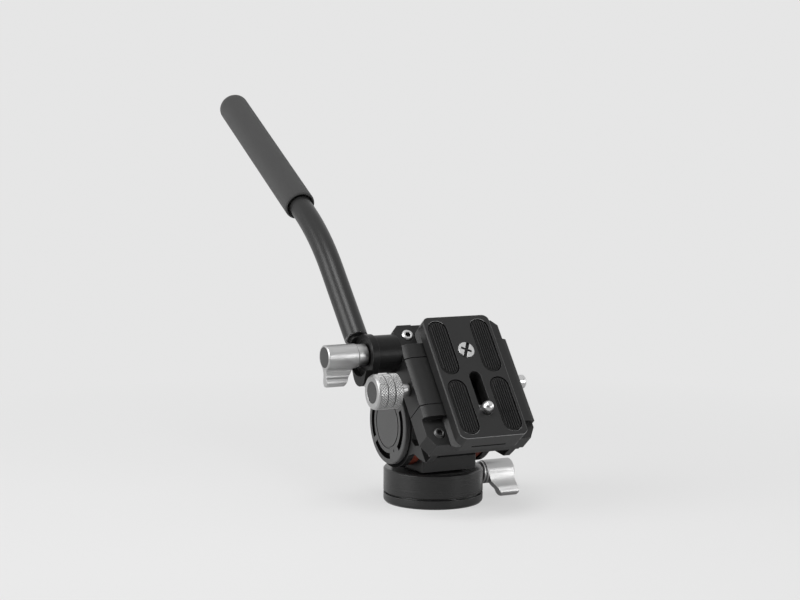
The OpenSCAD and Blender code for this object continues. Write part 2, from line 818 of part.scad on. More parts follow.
module quick_plate() {
    pad_clear = 0.45;
    mark_w = 19;
    mark_h = 0.7;
    mark_up = 3.4;
    mark_deep = 0.6;
    slot_front_v = stud_v + slot_r;
    recess_low = plate_low + plate_recess_h;
    recess_out = stud_head_out + 0.9;
    color([0.07, 0.07, 0.07]) in_tilt() difference() {
        intersection() {
            upward(plate_low, plate_n) plate_plan();
            rotate([90, 0, 0]) linear_extrude(3 * plate_len, center = true) plate_section();
        }
        upward(plate_n - pad_sink, plate_n + cut) pad_places()
            stadium(pad_w + 2 * pad_clear, pad_len + 2 * pad_clear);
        upward(plate_low - cut, plate_n + cut) translate([0, (slot_rear_v + slot_front_v) / 2])
            stadium(2 * slot_r, slot_front_v - slot_rear_v);
        upward(plate_low - cut, recess_low) translate([0, (slot_rear_v + slot_front_v) / 2])
            stadium(2 * (slot_r + recess_out), slot_front_v - slot_rear_v + 2 * recess_out);
        translate([0, rear_screw_v, 0]) bar_z(plate_low - cut, plate_n + cut, rear_screw_r + run_gap);
        for (s = [-1, 1]) translate([0, -plate_mid_v - s * plate_len / 2, plate_low + mark_up])
            cube([mark_w, 2 * mark_deep, mark_h], center = true);
    }
}

module plate_pads() {
    pad_out = 0.35;
    color([0.04, 0.04, 0.04]) in_tilt() upward(plate_n - pad_sink, plate_n + pad_out)
        pad_places() stadium(pad_w, pad_len);
}

// Camera screw: coin-slotted head below, a waist in the plate's slot, free thread above
module camera_screw() {
    head_r = slot_r + stud_head_out;
    head_low = plate_low + 1;
    head_top = plate_low + plate_recess_h - run_gap;
    coin_w = 1.6;
    coin_deep = 1.4;
    tip = plate_n + stud_out;
    color([0.7, 0.7, 0.71]) in_tilt() difference() {
        translate([0, -stud_v, 0]) rotate_extrude() polygon([[0, head_low], [head_r, head_low],
            [head_r, head_top], [stud_waist_r, head_top], [stud_waist_r, plate_n], [stud_r, plate_n],
            [stud_r, tip - 1.4], [stud_r - 0.6, tip - 0.4], [stud_r - 1.6, tip], [0, tip]]);
        translate([-head_r, -stud_v - coin_w / 2, head_low - cut])
            cube([2 * head_r, coin_w, cut + coin_deep]);
    }
}

// Bar-shaped cut across a screw's top, through its middle
module cross_slot(len, w, top, deep) {
    translate([-len / 2, -w / 2, top - deep]) cube([len, w, deep + cut]);
}

module rear_screw() {
    coin_deg = 62;
    slot_deep = 1.6;
    edge = 0.5;
    top = plate_n + 0.5;
    color([0.7, 0.7, 0.71]) in_tilt() translate([0, rear_screw_v, 0]) difference() {
        union() {
            bar_z(plate_low + 0.6, top - edge, rear_screw_r);
            bar_z(top - edge - eps, top, rear_screw_r - edge);
        }
        rotate(coin_deg) cross_slot(2 * rear_screw_r + 2 * cut, 1.8, top, slot_deep);
        rotate(coin_deg + 90) cross_slot(6, 1.2, top, slot_deep);
    }
}

// Handle

// Carries what follows along the tube, from its lower end towards +Y
module at_tube() {
    translate([-tube_x, tube_v, tube_n]) rotate([-tube_drop, 0, 0]) children();
}

// Carries what follows to the end of the bend, its new direction along +Y
module past_bend() {
    at_tube() translate([0, tube_low, -bend_r]) rotate([-bend_deg, 0, 0])
        translate([0, 0, bend_r]) children();
}

module bar_y(y0, y1, r) {
    translate([0, y0, 0]) rotate([-90, 0, 0]) cylinder(h = y1 - y0, r = r);
}

module handle_block() {
    inner_seat_r = lock_r + 1.8;
    color([0.05, 0.05, 0.05]) in_tilt() difference() {
        union() {
            across(-block_out, -block_in) hull() {
                translate([-pivot_v, pivot_n]) circle(r = block_r, $fn = 48);
                translate([-block_end_v, block_end_n]) circle(r = block_end_r, $fn = 32);
            }
            at_tube() bar_y(stub_root, 1, stub_r);
            at_tube() bar_y(eps, stub_len, tube_r - tube_wall - 2 * eps);
        }
        bar_x(-block_out - cut, -block_in + cut, lock_screw_r + run_gap, -pivot_v, pivot_n);
        bar_x(-block_out - cut, -block_out + block_seat, block_r + move_gap, -pivot_v, pivot_n);
        bar_x(-block_out - cut, -block_out + inner_seat, inner_seat_r, -pivot_v, pivot_n);
        at_block_screw() bar_y(-cut, block_screw_len + cut, block_screw_r + eps);
    }
}

// Carries the screw in the block's nose, its head towards -Y
module at_block_screw() {
    translate([-tube_x, block_end_v - block_end_r - block_screw_out, block_end_n]) children();
}

// Middle line of the tube as [y, z, fall of its direction]: straight, bend, straight
function bent(a) = [tube_low + bend_r * sin(a), -bend_r * (1 - cos(a)), a];
function tube_line() = concat([[0, 0, 0]],
    [for (i = [0 : bend_steps]) bent(i * bend_deg / bend_steps)],
    [bent(bend_deg) + tube_high * [cos(bend_deg), -sin(bend_deg), 0]]);

// Points of one ring round the middle line
function ring_points(at, r) = [for (k = [0 : tube_sides - 1]) let (a = 360 * k / tube_sides)
    [r * cos(a), at[0] + r * sin(a) * sin(at[2]), at[1] + r * sin(a) * cos(at[2])]];

// Two triangles for each side between two rings
function band_faces(ring_a, ring_b) = [for (k = [0 : tube_sides - 1])
    let (m = (k + 1) % tube_sides, a = ring_a * tube_sides, b = ring_b * tube_sides)
        each [[a + k, a + m, b + m], [a + k, b + m, b + k]]];

module handle_tube() {
    line = tube_line();
    count = len(line);
    points = concat([for (at = line) each ring_points(at, tube_r)],
        [for (at = line) each ring_points(at, tube_r - tube_wall)]);
    faces = concat([for (i = [0 : count - 2]) each band_faces(i + 1, i)],
        [for (i = [0 : count - 2]) each band_faces(count + i, count + i + 1)],
        band_faces(0, count), band_faces(2 * count - 1, count - 1));
    color([0.09, 0.09, 0.09]) in_tilt() at_tube() polyhedron(points, faces);
}

module handle_grip() {
    color([0.1, 0.1, 0.1]) in_tilt() past_bend() difference() {
        translate([0, grip_over, 0]) rotate([-90, 0, 0]) rotate_extrude() polygon([
            [0, 0], [grip_r - 1, 0], [grip_r, 1], [grip_r, grip_len - 4.5],
            [grip_r - 1.1, grip_len - 2], [grip_r - 3.4, grip_len - 0.5], [grip_r - 5, grip_len],
            [0, grip_len]]);
        bar_y(-cut, tube_high + eps, tube_r + eps);
    }
}

module block_screw() {
    color([0.62, 0.62, 0.63]) in_tilt() at_block_screw() difference() {
        bar_y(0, block_screw_len, block_screw_r);
        bar_y(-cut, 1.2, 1.2);
    }
}

// Handle lock

module at_handle_lock() {
    in_tilt() translate([-handle_lock_x, pivot_v, pivot_n]) rotate([-tilt_rest - handle_wing_deg, 0, 0])
        rotate(180) children();
}

module handle_knob() {
    color([0.7, 0.7, 0.71]) at_handle_lock() wing_lock(inner_seat);
}

module handle_knob_cap() {
    color([0.33, 0.33, 0.34]) at_handle_lock() lock_cap();
}

module handle_bolt() {
    reach = handle_lock_x - clamp_x + 5;
    color([0.5, 0.5, 0.5]) at_handle_lock() lock_stem(reach);
}

base_plate();
base_housing();
thread_bush();
base_screws();
thrust_washer();
brake_shoe();
pan_knob();
pan_knob_cap();
pan_screw();
pedestal();
pan_spindle();
tilt_axle();
left_drag_ring();
right_drag_ring();
tilt_saddle();
left_bearing();
right_bearing();
left_cover();
right_cover();
clamp_body();
clamp_screws();
handle_boss();
tilt_knob();
tilt_knob_cap();
tilt_screw();
moving_jaw();
clamp_knob();
clamp_knob_cap();
clamp_rod();
rod_nut();
quick_plate();
plate_pads();
camera_screw();
rear_screw();
handle_block();
handle_tube();
handle_grip();
block_screw();
handle_knob();
handle_knob_cap();
handle_bolt();
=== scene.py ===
"""Looks of a fluid video head: a finish for every piece, and finer meshes where the solids are plain.

Lengths are in metres, and the profiles of turned pieces are lists of (radius, height) in millimetres.
Pieces of the tilting half are made in the level frame: X along the tilt axis, -Y forward, +Z up from
the plate, with the origin on the tilt axis.
"""
import json
import math

import bmesh
import bpy
from mathutils import Matrix, Vector


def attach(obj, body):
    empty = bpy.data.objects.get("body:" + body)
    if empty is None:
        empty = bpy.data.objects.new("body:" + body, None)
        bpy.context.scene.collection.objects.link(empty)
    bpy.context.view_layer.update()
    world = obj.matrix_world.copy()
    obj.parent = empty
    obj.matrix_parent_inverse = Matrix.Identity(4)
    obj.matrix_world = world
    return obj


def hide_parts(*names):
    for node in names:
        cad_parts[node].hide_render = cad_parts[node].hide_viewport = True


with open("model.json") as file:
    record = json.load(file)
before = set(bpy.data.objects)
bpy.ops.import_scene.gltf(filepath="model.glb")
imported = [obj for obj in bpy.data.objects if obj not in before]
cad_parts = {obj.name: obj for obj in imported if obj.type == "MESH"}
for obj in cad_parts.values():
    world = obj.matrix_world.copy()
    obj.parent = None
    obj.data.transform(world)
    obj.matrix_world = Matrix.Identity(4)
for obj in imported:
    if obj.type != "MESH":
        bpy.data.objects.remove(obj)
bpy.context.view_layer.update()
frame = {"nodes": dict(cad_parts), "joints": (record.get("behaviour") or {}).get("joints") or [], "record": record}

NODES = frame["nodes"]
JOINTS = {j["name"]: j for j in frame["joints"]}
RECORD = frame["record"]
MOUNTS = {m["name"]: m for m in RECORD["mounts"]}
BODY_OF = {n: body for body, names in RECORD["behaviour"]["bodies"].items() for n in names}
SLOT_OF = {p["node"]: p["material_slot"] for p in RECORD["subparts"]}
MM = 0.001

# Frames

X_AXIS = Vector((1, 0, 0))
FORWARD = Vector(JOINTS["plate_slide"]["axis"])
NORMAL = Vector(MOUNTS["camera_seat"]["axis"])
TILT_AT = Vector(JOINTS["tilt_swing"]["pos_m"])


def axes_at(x_axis, y_axis, z_axis, at):
    """Matrix that carries local axes to the given ones, with its origin at a point."""
    place = Matrix((x_axis, y_axis, z_axis)).transposed().to_4x4()
    place.translation = at
    return place


LEVEL = axes_at(X_AXIS, -FORWARD, NORMAL, Vector((0, TILT_AT.y, TILT_AT.z)))
TO_LEVEL = LEVEL.inverted()
UPRIGHT = Matrix.Identity(4)


def turned_frame(node, axis):
    """Frame of a turned CAD node, Z along its axis from its start, and the node's length."""
    side = axis.orthogonal().normalized()
    up = axis.cross(side)
    points = [v.co for v in NODES[node].data.vertices]
    spans = [sorted(p.dot(d) for p in points) for d in (side, up, axis)]
    start = side * (spans[0][0] + spans[0][-1]) / 2 + up * (spans[1][0] + spans[1][-1]) / 2
    return axes_at(side, up, axis, start + axis * spans[2][0]), spans[2][-1] - spans[2][0]


def level_box(node):
    """Lowest and highest corner of a CAD node in the level frame."""
    points = [TO_LEVEL @ v.co for v in NODES[node].data.vertices]
    low = Vector(min(p[i] for p in points) for i in range(3))
    high = Vector(max(p[i] for p in points) for i in range(3))
    return low, high


# Camera, as it stood for the photograph

CAMERA_AT = (-0.46084, -0.87310, 0.21281)
CAMERA_RIGHT = (0.8929, -0.4503, 0.0051)
CAMERA_UP = (0.0443, 0.0991, 0.9941)
CAMERA_BACK = (-0.4481, -0.8874, 0.1084)
CAMERA_LENS = 86.23
SENSOR_W = 36


def make_camera():
    data = bpy.data.cameras.new("camera")
    data.sensor_fit = "HORIZONTAL"
    data.sensor_width = SENSOR_W
    data.lens = CAMERA_LENS
    camera = bpy.data.objects.new("camera", data)
    camera.matrix_world = axes_at(CAMERA_RIGHT, CAMERA_UP, CAMERA_BACK, CAMERA_AT)
    bpy.context.scene.collection.objects.link(camera)
    bpy.context.scene.camera = camera


make_camera()

# Material helpers

BEVEL_SAMPLES = 6
EDGE_COSINES = (0.82, 0.98)
NOISE_SPAN = (0.3, 0.7)


def range_node(tree, source, limits):
    """Maps a value from the first pair of limits to the second pair."""
    node = tree.nodes.new("ShaderNodeMapRange")
    for name, value in zip(("From Min", "From Max", "To Min", "To Max"), limits):
        node.inputs[name].default_value = value
    tree.links.new(source, node.inputs["Value"])
    return node.outputs["Result"]


class Finish:
    """A material under construction: its node tree and its shader."""

    def __init__(self, name):
        self.material = bpy.data.materials.new(name)
        self.material.use_nodes = True
        self.tree = self.material.node_tree
        self.shader = self.tree.nodes["Principled BSDF"]
        self.coordinates = self.tree.nodes.new("ShaderNodeTexCoord")

    def link(self, source, target):
        self.tree.links.new(source, target)

    def set(self, **values):
        """Sets sockets of the shader by name, with _ for a space."""
        for name, value in values.items():
            self.shader.inputs[name.replace("_", " ")].default_value = value

    def noise(self, scale, detail=2.0, stretch=(1, 1, 1)):
        """Noise over the object's own coordinates; scale is features per metre."""
        mapping = self.tree.nodes.new("ShaderNodeMapping")
        mapping.inputs["Scale"].default_value = stretch
        self.link(self.coordinates.outputs["Object"], mapping.inputs["Vector"])
        texture = self.tree.nodes.new("ShaderNodeTexNoise")
        texture.inputs["Scale"].default_value = scale
        texture.inputs["Detail"].default_value = detail
        self.link(mapping.outputs["Vector"], texture.inputs["Vector"])
        return texture.outputs["Fac"]

    def spread(self, factor, low, high, span=NOISE_SPAN):
        """A factor over a span turned into a value from low to high."""
        return range_node(self.tree, factor, (*span, low, high))

    def mix(self, factor, first, second):
        """Mix of two colours, each a triple or a socket."""
        node = self.tree.nodes.new("ShaderNodeMix")
        node.data_type = "RGBA"
        self.link(factor, node.inputs["Factor"])
        for socket, value in ((node.inputs[6], first), (node.inputs[7], second)):
            if isinstance(value, tuple):
                socket.default_value = (*value, 1)
            else:
                self.link(value, socket)
        return node.outputs[2]

    def edges(self, radius):
        """A normal that rounds the edges off, and a mask that is 1 along them, where a highlight is painted."""
        bevel = self.tree.nodes.new("ShaderNodeBevel")
        bevel.samples = BEVEL_SAMPLES
        bevel.inputs["Radius"].default_value = radius
        geometry = self.tree.nodes.new("ShaderNodeNewGeometry")
        dot = self.tree.nodes.new("ShaderNodeVectorMath")
        dot.operation = "DOT_PRODUCT"
        self.link(bevel.outputs["Normal"], dot.inputs[0])
        self.link(geometry.outputs["Normal"], dot.inputs[1])
        return bevel.outputs["Normal"], self.spread(dot.outputs["Value"], 1, 0, EDGE_COSINES)

    def colour(self, source):
        self.link(source, self.shader.inputs["Base Color"])

    def roughness(self, factor, limits):
        """Roughness between two limits, as a factor varies."""
        self.link(self.spread(factor, *limits), self.shader.inputs["Roughness"])

    def bump(self, height, depth, normal=None):
        """Bump of a given depth in metres on the shader's normal."""
        node = self.tree.nodes.new("ShaderNodeBump")
        node.inputs["Distance"].default_value = depth
        self.link(height, node.inputs["Height"])
        if normal is not None:
            self.link(normal, node.inputs["Normal"])
        self.link(node.outputs["Normal"], self.shader.inputs["Normal"])


def grey(level):
    return (level, level, level)


# Finishes, with the scales of their grain in features per metre

GRAIN = 5200
CLOUD = 55
RINGS = 1700
RING_STRETCH = (0.02, 0.02, 1)
STREAKS = 900
PORES = 2600
PORE_SPAN = (0.35, 0.6)
FOAM_CLOUD = 130
RUBBER_GRAIN = 3600
RUBBER_CLOUD = 160
PLASTIC_GRAIN = 3000
PLASTIC_CLOUD = 120
BRONZE_GRAIN = 1800
EDGE_R = 0.22 * MM
GRAIN_DEPTH = 0.012 * MM
COATING_DEPTH = 0.003 * MM
METAL_DEPTH = 0.008 * MM
PORE_DEPTH = 0.09 * MM
RUBBER_DEPTH = 0.02 * MM
MOULD_DEPTH = 0.01 * MM
# Painted highlight along the edges of silver finishes, as a factor on their light colour
EDGE_HIGHLIGHT_GAIN = 1.15


def anodised(name, dark, light, edge, rough, specular, depth=GRAIN_DEPTH):
    """Blasted, anodised aluminium: fine grain, slight clouding, and a painted highlight along the edges."""
    f = Finish(name)
    normal, mask = f.edges(EDGE_R)
    grain = f.noise(GRAIN)
    body = f.mix(f.noise(CLOUD), grey(dark), grey(light))
    f.colour(f.mix(mask, body, grey(edge)))
    f.roughness(grain, rough)
    f.set(Specular_IOR_Level=specular)
    f.bump(grain, depth, normal)
    return f.material


def turned(name, dark, light, edge, rough, specular):
    """Anodised aluminium with the fine rings that a lathe leaves about the upright axis, and a painted highlight
    along the edges.
    """
    f = Finish(name)
    normal, mask = f.edges(EDGE_R)
    rings = f.noise(RINGS, stretch=RING_STRETCH)
    body = f.mix(rings, grey(dark), grey(light))
    f.colour(f.mix(mask, body, grey(edge)))
    f.roughness(rings, rough)
    f.set(Specular_IOR_Level=specular)
    f.bump(rings, METAL_DEPTH, normal)
    return f.material


def silver(name, dark, light, rough, streak=(1, 1, 1)):
    """Bare or silver metal, mottled, or streaked along an axis where streak shrinks it; its edges get a painted
    highlight.
    """
    f = Finish(name)
    normal, mask = f.edges(EDGE_R)
    lines = f.noise(STREAKS, detail=3, stretch=streak)
    grain = f.noise(GRAIN)
    body = f.mix(lines, grey(dark), grey(light))
    f.colour(f.mix(mask, body, grey(min(1, light * EDGE_HIGHLIGHT_GAIN))))
    f.roughness(lines, rough)
    f.set(Metallic=1.0)
    f.bump(grain, METAL_DEPTH, normal)
    return f.material


def foam(name, dark, light, rough):
    """Closed-cell foam rubber: matte, with fine pores."""
    f = Finish(name)
    pores = f.noise(PORES, detail=4)
    body = f.mix(f.noise(FOAM_CLOUD, detail=3), grey(dark), grey(light))
    f.colour(f.mix(f.spread(pores, 0, 1, PORE_SPAN), grey(dark), body))
    f.roughness(pores, rough)
    f.set(Specular_IOR_Level=0.2, Sheen_Weight=0.15, Sheen_Roughness=0.6)
    f.bump(pores, PORE_DEPTH)
    return f.material


def rubber(name, dark, light, rough):
    """Moulded rubber with a fine grain."""
    f = Finish(name)
    grain = f.noise(RUBBER_GRAIN, detail=3)
    f.colour(f.mix(f.noise(RUBBER_CLOUD), grey(dark), grey(light)))
    f.roughness(grain, rough)
    f.set(Specular_IOR_Level=0.3)
    f.bump(grain, RUBBER_DEPTH)
    return f.material


def plastic(name, dark, light, rough, specular=0.35):
    """Moulded plastic with a faint grain."""
    f = Finish(name)
    grain = f.noise(PLASTIC_GRAIN)
    f.colour(f.mix(f.noise(PLASTIC_CLOUD), dark, light))
    f.roughness(grain, rough)
    f.set(Specular_IOR_Level=specular)
    f.bump(grain, MOULD_DEPTH)
    return f.material


def sintered(name, dark, light, rough):
    """Pressed and sintered metal."""
    f = Finish(name)
    grain = f.noise(BRONZE_GRAIN, detail=3)
    f.colour(f.mix(grain, dark, light))
    f.roughness(grain, rough)
    f.set(Metallic=1.0)
    f.bump(grain, MOULD_DEPTH)
    return f.material


# The record's slots, then the finishes that only some nodes or some of their faces have

RECIPES = {
    "black_anodised": (anodised, dict(dark=0.012, light=0.015, edge=0.15, rough=(0.33, 0.45),
                                      specular=0.27)),
    "cover_grey": (anodised, dict(dark=0.052, light=0.06, edge=0.16, rough=(0.4, 0.52), specular=0.35)),
    "black_tube": (anodised, dict(dark=0.012, light=0.015, edge=0.02, rough=(0.28, 0.4), specular=0.33,
                                  depth=COATING_DEPTH)),
    "grip_rubber": (foam, dict(dark=0.028, light=0.034, rough=(0.82, 0.95))),
    "black_rubber": (rubber, dict(dark=0.013, light=0.018, rough=(0.55, 0.75))),
    "satin_silver": (silver, dict(dark=0.42, light=0.5, rough=(0.34, 0.48), streak=(0.06, 1, 1))),
    "inlay_grey": (plastic, dict(dark=grey(0.033), light=grey(0.04), rough=(0.49, 0.61))),
    "bright_steel": (silver, dict(dark=0.56, light=0.66, rough=(0.24, 0.38))),
    "dark_steel": (silver, dict(dark=0.08, light=0.12, rough=(0.34, 0.48))),
    "bronze": (sintered, dict(dark=(0.40, 0.26, 0.12), light=(0.55, 0.38, 0.2), rough=(0.3, 0.45))),
    "orange_ring": (plastic, dict(dark=(0.11, 0.022, 0.013), light=(0.14, 0.028, 0.016),
                                  rough=(0.44, 0.56))),
    "black_polymer": (plastic, dict(dark=grey(0.004), light=grey(0.006), rough=(0.64, 0.76))),
    # Light grey for the top bevels of the plate's ends: partly bare cut metal, partly a painted highlight
    "cut_edge": (anodised, dict(dark=0.25, light=0.31, edge=0.35, rough=(0.35, 0.47), specular=0.5)),
    # Painted shade for the insides of slots, pockets, marks and grooves
    "shadow_black": (plastic, dict(dark=grey(0.003), light=grey(0.005), rough=(0.84, 0.96), specular=0.04)),
    "black_turned": (turned, dict(dark=0.009, light=0.013, edge=0.04, rough=(0.25, 0.35), specular=0.44)),
    # Black anodising darkened as painted shade, for the handle's boss and block
    "black_deep": (anodised, dict(dark=0.006, light=0.008, edge=0.1, rough=(0.31, 0.43), specular=0.17)),
    # The plate's black, its lighter edges partly bare cut metal and partly a painted highlight
    "black_cut_edged": (anodised, dict(dark=0.013, light=0.016, edge=0.28, rough=(0.33, 0.45),
                                       specular=0.29)),
}
FINISHES = {name: make(name, **values) for name, (make, values) in RECIPES.items()}
OWN_FINISHES = {
    "base_plate": "black_turned", "base_housing": "black_turned",
    # handle_boss and handle_block take black anodising darkened as painted shade
    "handle_boss": "black_deep", "handle_block": "black_deep",
    "quick_plate": "black_cut_edged",
}


def finish_of(node):
    """A node's own finish, or else that of its material slot."""
    return FINISHES[OWN_FINISHES.get(node, SLOT_OF[node])]


# Mesh helpers

SMOOTH_DEG = 32
LATHE_STEPS = 96


def tidy_shading(mesh, degrees):
    """Smooth faces, with a crease wherever they meet at more than an angle."""
    mesh.polygons.foreach_set("use_smooth", [True] * len(mesh.polygons))
    mesh.set_sharp_from_angle(angle=math.radians(degrees))


def joined(parts):
    """Several (points, faces) made into one."""
    points, faces = [], []
    for part_points, part_faces in parts:
        start = len(points)
        points += part_points
        faces += [tuple(i + start for i in face) for face in part_faces]
    return points, faces


def moved(part, place):
    points, faces = part
    return [place @ Vector(p) for p in points], faces


def inner_corners(low, high, in_x, in_y):
    """Four (x, y) points that stand in from a box's corners."""
    return [(x, y) for x in (low.x + in_x, high.x - in_x) for y in (low.y + in_y, high.y - in_y)]


def at_each(part, corners):
    """Copies of (points, faces) at several (x, y) points, made into one."""
    return joined([moved(part, Matrix.Translation((x, y, 0))) for x, y in corners])


def dress(name, part, place, nodes, degrees=SMOOTH_DEG):
    """Makes a piece from (points, faces), puts it in place and lets it stand for CAD nodes."""
    points, faces = moved(part, place)
    mesh = bpy.data.meshes.new(name)
    mesh.from_pydata(points, [], faces)
    bm = bmesh.new()
    bm.from_mesh(mesh)
    bmesh.ops.recalc_face_normals(bm, faces=bm.faces)
    bm.to_mesh(mesh)
    bm.free()
    return show(name, mesh, nodes, degrees)


def show(name, mesh, nodes, degrees):
    """Links a mesh as a piece that stands for CAD nodes, with their body, slot and finish."""
    tidy_shading(mesh, degrees)
    mesh.materials.clear()
    mesh.materials.append(finish_of(nodes[0]))
    piece = bpy.data.objects.new(name, mesh)
    bpy.context.scene.collection.objects.link(piece)
    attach(piece, BODY_OF[nodes[0]])
    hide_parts(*nodes)
    return piece


def ring_faces(rows, columns):
    """Quads between rings of points, each ring joined to the next."""
    return [(r * columns + c, r * columns + (c + 1) % columns,
             (r + 1) * columns + (c + 1) % columns, (r + 1) * columns + c)
            for r in range(rows - 1) for c in range(columns)]


def capped_faces(rows, columns):
    """Quads between rings of points, and a face over the first ring and the last."""
    last = (rows - 1) * columns
    ends = [tuple(range(columns))[::-1], tuple(range(last, last + columns))]
    return ring_faces(rows, columns) + ends


def in_metres(profile):
    return [(r * MM, z * MM) for r, z in profile]


def lathe(profile, steps=LATHE_STEPS, radius=None):
    """Solid turned about Z from (r, z) points; radius(r, z, turn) may vary it round the turn."""
    vary = radius or (lambda r, z, turn: r)
    points = []
    for r, z in profile:
        for k in range(steps):
            turn = 2 * math.pi * k / steps
            reach = vary(r, z, turn)
            points.append((reach * math.cos(turn), reach * math.sin(turn), z))
    return points, capped_faces(len(profile), steps)


def prism(outline, low, high):
    """Upright prism over a flat outline of (x, y) points."""
    points = [(x, y, z) for z in (low, high) for x, y in outline]
    return points, capped_faces(2, len(outline))


def arc(centre, radius, start, end, steps):
    """Points of an arc in a plane; angles in degrees."""
    angles = [math.radians(start + (end - start) * k / steps) for k in range(steps + 1)]
    return [(centre[0] + radius * math.cos(a), centre[1] + radius * math.sin(a)) for a in angles]


# CAD nodes with softened edges, their widths in millimetres

WELD = 0.002 * MM
FLAT_DEG = 0.4
EDGE_DEG = 32
SOFT_SMOOTH_DEG = 40
SOFT_SEGMENTS = 2
ROUND_PROFILE = 0.5
FLAT_FACE_WEIGHT = 100
SOFT_EDGES = {
    "base_plate": 0.12, "base_housing": 0.15, "pedestal": 0.3, "tilt_saddle": 0.3, "clamp_body": 0.25,
    "moving_jaw": 0.2, "handle_boss": 0.25, "handle_block": 0.3, "quick_plate": 0.2,
    "left_drag_ring": 0.2, "right_drag_ring": 0.2,
    "block_screw": 0.2, "rod_nut": 0.15, "base_screws": 0.15,
    "pan_knob": 0.3, "tilt_knob": 0.3, "handle_knob": 0.3,
    "left_cover": 0.12, "right_cover": 0.12, "handle_tube": 0.15, "rear_screw": 0.12,
}


def softened(node, width):
    """Copy of a CAD node whose sharp edges are rounded, which stands for it."""
    bm = bmesh.new()
    bm.from_mesh(NODES[node].data)
    bmesh.ops.remove_doubles(bm, verts=bm.verts[:], dist=WELD)
    flat = math.radians(FLAT_DEG)
    bmesh.ops.dissolve_limit(bm, angle_limit=flat, verts=bm.verts[:], edges=bm.edges[:])
    limit = math.radians(EDGE_DEG)
    sharp = [e for e in bm.edges if e.is_manifold and e.calc_face_angle() > limit]
    bmesh.ops.bevel(bm, geom=sharp, offset=width, offset_type="OFFSET", segments=SOFT_SEGMENTS,
                    profile=ROUND_PROFILE, affect="EDGES", clamp_overlap=True)
    mesh = bpy.data.meshes.new(node + "_soft")
    bm.to_mesh(mesh)
    bm.free()
    piece = show(node + "_soft", mesh, [node], SOFT_SMOOTH_DEG)
    flat_faces = piece.modifiers.new("flat_faces", "WEIGHTED_NORMAL")
    flat_faces.keep_sharp = True
    flat_faces.weight = FLAT_FACE_WEIGHT
    return piece


def painted(piece, finish, test, into=TO_LEVEL):
    """Gives another finish to the faces that pass a test of their middle and normal in a frame."""
    index = len(piece.data.materials)
    piece.data.materials.append(FINISHES[finish])
    turn = into.to_3x3()
    for face in piece.data.polygons:
        if test(into @ face.center, turn @ face.normal):
            face.material_index = index


soft = {node: softened(node, width * MM) for node, width in SOFT_EDGES.items()}

# Side covers, with painted shade inside their arc slots, down to the cheeks

COVER_STEP_IN = 0.6 * MM
SLOT_START = 0.5
OUTWARD = 0.6
SEAT_NEAR = 0.05 * MM


def slot_wall(at, normal, radius):
    """Whether a face of a cover stands inside it and doesn't face outward or inward."""
    reach = math.hypot(at.y, at.z)
    return abs(normal.x) < OUTWARD and SLOT_START * radius < reach < radius - COVER_STEP_IN


def paint_cover(node):
    low, high = level_box(node)
    radius = (high.y - low.y) / 2
    seat = low.x if low.x > 0 else high.x

    def behind(at, normal):
        on_seat = abs(at.x - seat) < SEAT_NEAR and normal.x * seat > 0
        return on_seat and math.hypot(at.y, at.z) < radius - COVER_STEP_IN

    # Painted shade on the slots' walls and on the saddle's seat seen through them
    painted(soft[node], "shadow_black", lambda at, normal: slot_wall(at, normal, radius))
    painted(soft["tilt_saddle"], "shadow_black", behind)


for node in ("left_cover", "right_cover"):
    paint_cover(node)

# Handle tube, its lower end cut to bare metal

TUBE_DROP = math.radians(3.6)
BEND = math.radians(19.4)
CUT_FACING = 0.8


def rearward(fall):
    """Direction to the rear that falls by an angle against the plate."""
    return LEVEL.to_3x3() @ Vector((0, math.cos(fall), -math.sin(fall)))


def paint_tube():
    along = TO_LEVEL.to_3x3() @ rearward(TUBE_DROP)
    painted(soft["handle_tube"], "bright_steel", lambda at, normal: normal.dot(along) < -CUT_FACING)


paint_tube()

# Foam grip, round at its top, with a gap round the tube at its lower end

GRIP_R = 8.3 * MM
GRIP_TOP_R = 5.2 * MM
GRIP_TOP_STEPS = 14
GRIP_ROWS = 24
GRIP_FOOT = [(6.15, 2.6), (7.0, 2.3), (7.1, 0.5), (7.3, 0.15),
             (7.6, 0), (7.95, 0.15), (8.2, 0.5), (8.3, 1.0)]


def make_grip():
    place, length = turned_frame("handle_grip", rearward(TUBE_DROP + BEND))
    foot = in_metres(GRIP_FOOT)
    low = foot[-1][1]
    straight = length - GRIP_TOP_R
    shaft = [(GRIP_R, low + (straight - low) * k / GRIP_ROWS) for k in range(1, GRIP_ROWS)]
    top = arc((GRIP_R - GRIP_TOP_R, straight), GRIP_TOP_R, 0, 90, GRIP_TOP_STEPS)
    dress("handle_grip_foam", lathe(foot + shaft + top), place, ["handle_grip"])


make_grip()

# Knurled clamp knob: three bands of diamonds between two grooves, a plain bevel in front

KNURLS = 38
KNURL_STEPS = 8
KNURL_DEPTH = 0.6 * MM
KNURL_PITCH = 1.5 * MM
KNURL_ROW = 0.1 * MM
KNURL_SMOOTH_DEG = 24
VALLEY_SHARE = 0.88
KNOB_R = 9 * MM
KNOB_BANDS = [(6.6, 10.3), (10.9, 14.4), (15, 18.3)]
KNOB_NECK = [(2.1, 0), (3.2, 0), (3.5, 0.4), (3.6, 2), (3.5, 4), (3.4, 5), (3.4, 6), (7.9, 6.05)]
KNOB_GROOVE_R = 8.25
KNOB_GROOVE_FLANK = 0.2
KNOB_FRONT = [(8.55, 18.6), (8.65, 18.9), (8.45, 19.3), (7.95, 19.75), (7.5, 19.8), (5.6, 19.8),
              (5.45, 19.65), (5.45, 19.1)]


def ridge(phase):
    """0 at whole numbers, 1 half-way between them."""
    return 1 - abs(2 * (phase % 1) - 1)


def knurled(r, z, turn):
    """Radius on the knob's bands, cut by two sets of slanting grooves."""
    if r < KNOB_R:
        return r
    around = KNURLS * turn / (2 * math.pi)
    along = z / KNURL_PITCH
    return r - KNURL_DEPTH * (1 - min(ridge(around + along), ridge(around - along)))


